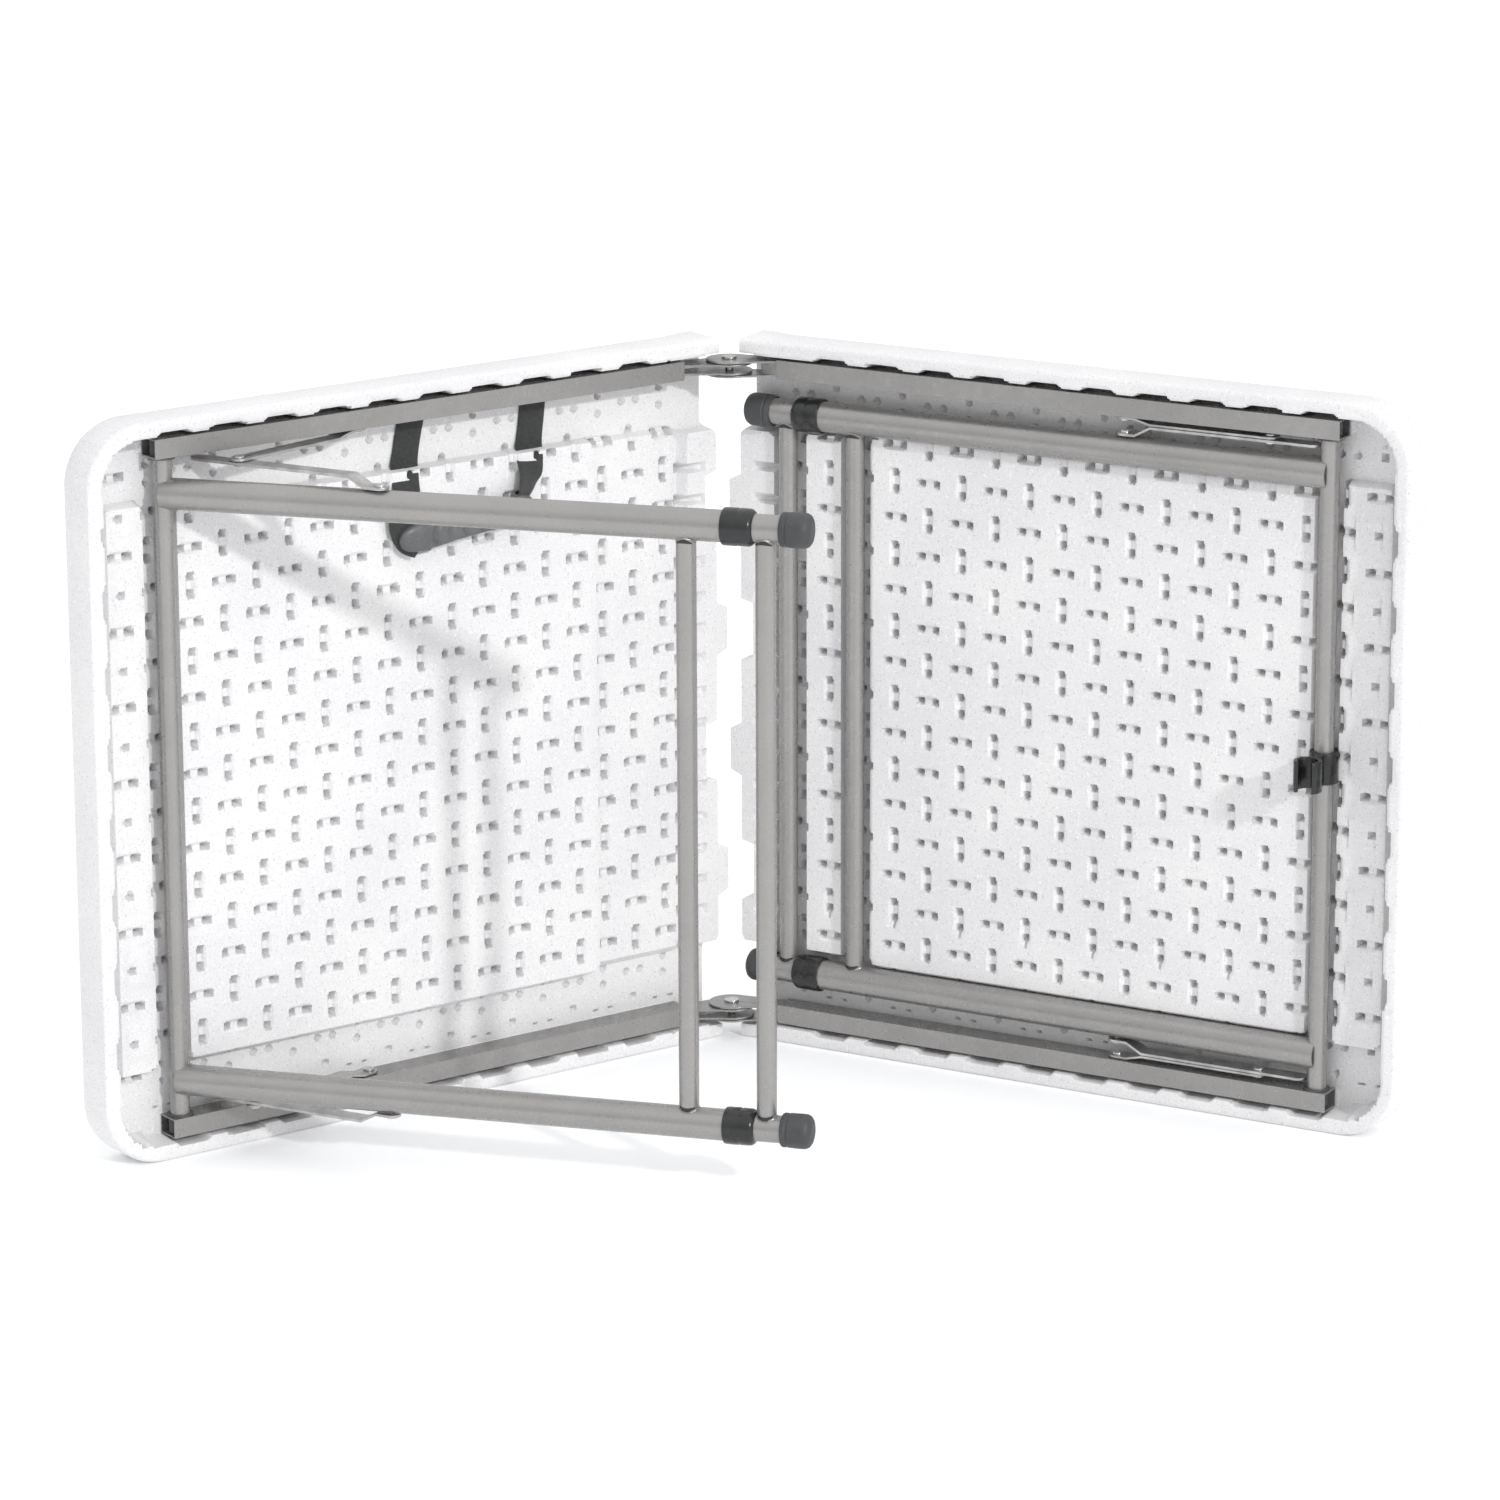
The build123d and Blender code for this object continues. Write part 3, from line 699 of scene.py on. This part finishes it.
def grip():
    """Moulded grip between the straps, with three crescent finger ribs on its front."""
    middle, height, length, slope = 258.0, 485.0, 132.0, math.radians(6.0)
    bm = bmesh.new()
    rings = []
    steps, around = 150, 56
    for i in range(steps + 1):
        t = 2 * i / steps - 1
        x = t * length / 2
        ends = max(1 - abs(t) ** 7, 0.02) ** 0.5
        deep, high = 6.4 * ends, (11.2 - 1.6 * math.cos(math.pi * t)) * ends
        ring = []
        for c, s in circle(1.0, around):
            y = math.copysign(abs(c) ** 0.62, c) * deep
            z = math.copysign(abs(s) ** 0.72, s) * high
            if c < 0:
                bow = 0.075 * z * z
                for rib in (-44.0, -29.0, -14.0, 1.0, 16.0, 31.0):
                    fade = max(0.0, 1 - (z / 10.5) ** 4)
                    y += 2.3 * fade * math.exp(-((x - rib + bow - 4) / 2.3) ** 2)
            du = x * math.cos(slope)
            dw = -x * math.sin(slope)
            level = height + dw + z - 0.8 * math.cos(math.pi * t)
            ring.append(row("left", middle + du, 9.0 + y, level))
        rings.append(ring)
    loft(bm, rings)
    fitted("moulded_grip", bm, "grip_plastic", "handle", ["handle_grip"], 40)


def soften(names, width, angle=35.0):
    """Weld a CAD node's split corners and round its edges, without touching its mesh."""
    for name in names:
        thing = frame["nodes"][name]
        weld = thing.modifiers.new("weld", "WELD")
        weld.merge_threshold = 1e-5
        bevel = thing.modifiers.new("bevel", "BEVEL")
        bevel.width, bevel.segments = width * MM, 2
        bevel.limit_method, bevel.angle_limit = "ANGLE", math.radians(angle)
        bevel.harden_normals = True


def soften_nodes():
    """Round the edges of the metal parts and of the latch."""
    soften(["latch"], 0.9)
    soften(["hinge_pins"], 0.7)
    for side in ("left", "right"):
        for level in ("_bottom", "_top"):
            soften([side + "_rail" + level], 1.0, 50)
            soften([side + "_hinge_bracket" + level], 0.35)
            soften([side + "_rail_arm" + level, side + "_leg_arm" + level], 0.45)
        soften([side + "_rail_rivets", side + "_apex_rivets", side + "_arm_studs"], 0.6)


# ---------------------------------------------------------------- scene
def floor_material():
    s = Shader("floor")
    base = s.mix(s.noise(3.0), (0.93, 0.935, 0.94, 1), (0.95, 0.95, 0.95, 1))
    rough = s.span(s.noise(20.0), 0.3, 0.7, 0.75, 0.85)
    normal = s.bump(s.noise(200.0), 0.05, 0.0005)
    return s.finish(base, rough, normal, Emission_Color=(0.95, 0.97, 1.0, 1),
                    Emission_Strength=0.10)


def stage():
    """The floor that the table stands on."""
    bm = bmesh.new()
    half = 30.0
    signs = ((-1, -1), (1, -1), (1, 1), (-1, 1))
    bm.faces.new([bm.verts.new((x * half, y * half, 0)) for x, y in signs])
    floor = new_object("floor", bm, floor_material())


def lights():
    """A pale studio that is brighter above, and one soft sun."""
    world = bpy.data.worlds.new("studio")
    bpy.context.scene.world = world
    world.use_nodes = True
    tree = world.node_tree
    background = tree.nodes["Background"]
    background.inputs["Color"].default_value = (0.985, 0.99, 1.0, 1)
    direction = tree.nodes.new("ShaderNodeTexCoord")
    split = tree.nodes.new("ShaderNodeSeparateXYZ")
    height = tree.nodes.new("ShaderNodeMapRange")
    height.inputs["From Min"].default_value, height.inputs["From Max"].default_value = -0.05, 0.75
    height.inputs["To Min"].default_value, height.inputs["To Max"].default_value = 0.52, 1.22
    tree.links.new(direction.outputs["Generated"], split.inputs[0])
    tree.links.new(split.outputs["Z"], height.inputs["Value"])
    tree.links.new(height.outputs["Result"], background.inputs["Strength"])
    sun = bpy.data.lights.new("key", "SUN")
    sun.energy, sun.angle = 1.30, math.radians(3.5)
    lamp = bpy.data.objects.new("key", sun)
    lamp.rotation_mode = "QUATERNION"
    lamp.rotation_quaternion = Vector((-0.479, 0.753, -0.451)).to_track_quat("-Z", "Y")
    bpy.context.scene.collection.objects.link(lamp)


def camera():
    """Camera at the height of a person standing a few steps off the open side."""
    data = bpy.data.cameras.new("camera")
    data.sensor_width, data.lens = 36.0, 149.16
    data.clip_start, data.clip_end = 0.1, 60.0
    eye = bpy.data.objects.new("camera", data)
    yaw, pitch, roll = (math.radians(a) for a in (-3.47, 15.2, -0.18))
    turn = Matrix.Rotation(yaw, 4, "Z") @ Matrix.Rotation(math.pi / 2 - pitch, 4, "X")
    turn = turn @ Matrix.Rotation(roll, 4, "Z")
    eye.matrix_world = Matrix.Translation((-0.29167, -4.87375, 1.63664)) @ turn
    bpy.context.scene.collection.objects.link(eye)
    bpy.context.scene.camera = eye
    bpy.context.scene.view_settings.view_transform = "Standard"


dress_nodes()
soften_nodes()
for half in ("left", "right"):
    moulded_panel(half, MATERIALS["moulded_panel"])
    collars(half)
    foot_caps(half)
    weld_beads(half)
    gap_shade_strips(half)
straps()
grip()
stage()
lights()
camera()
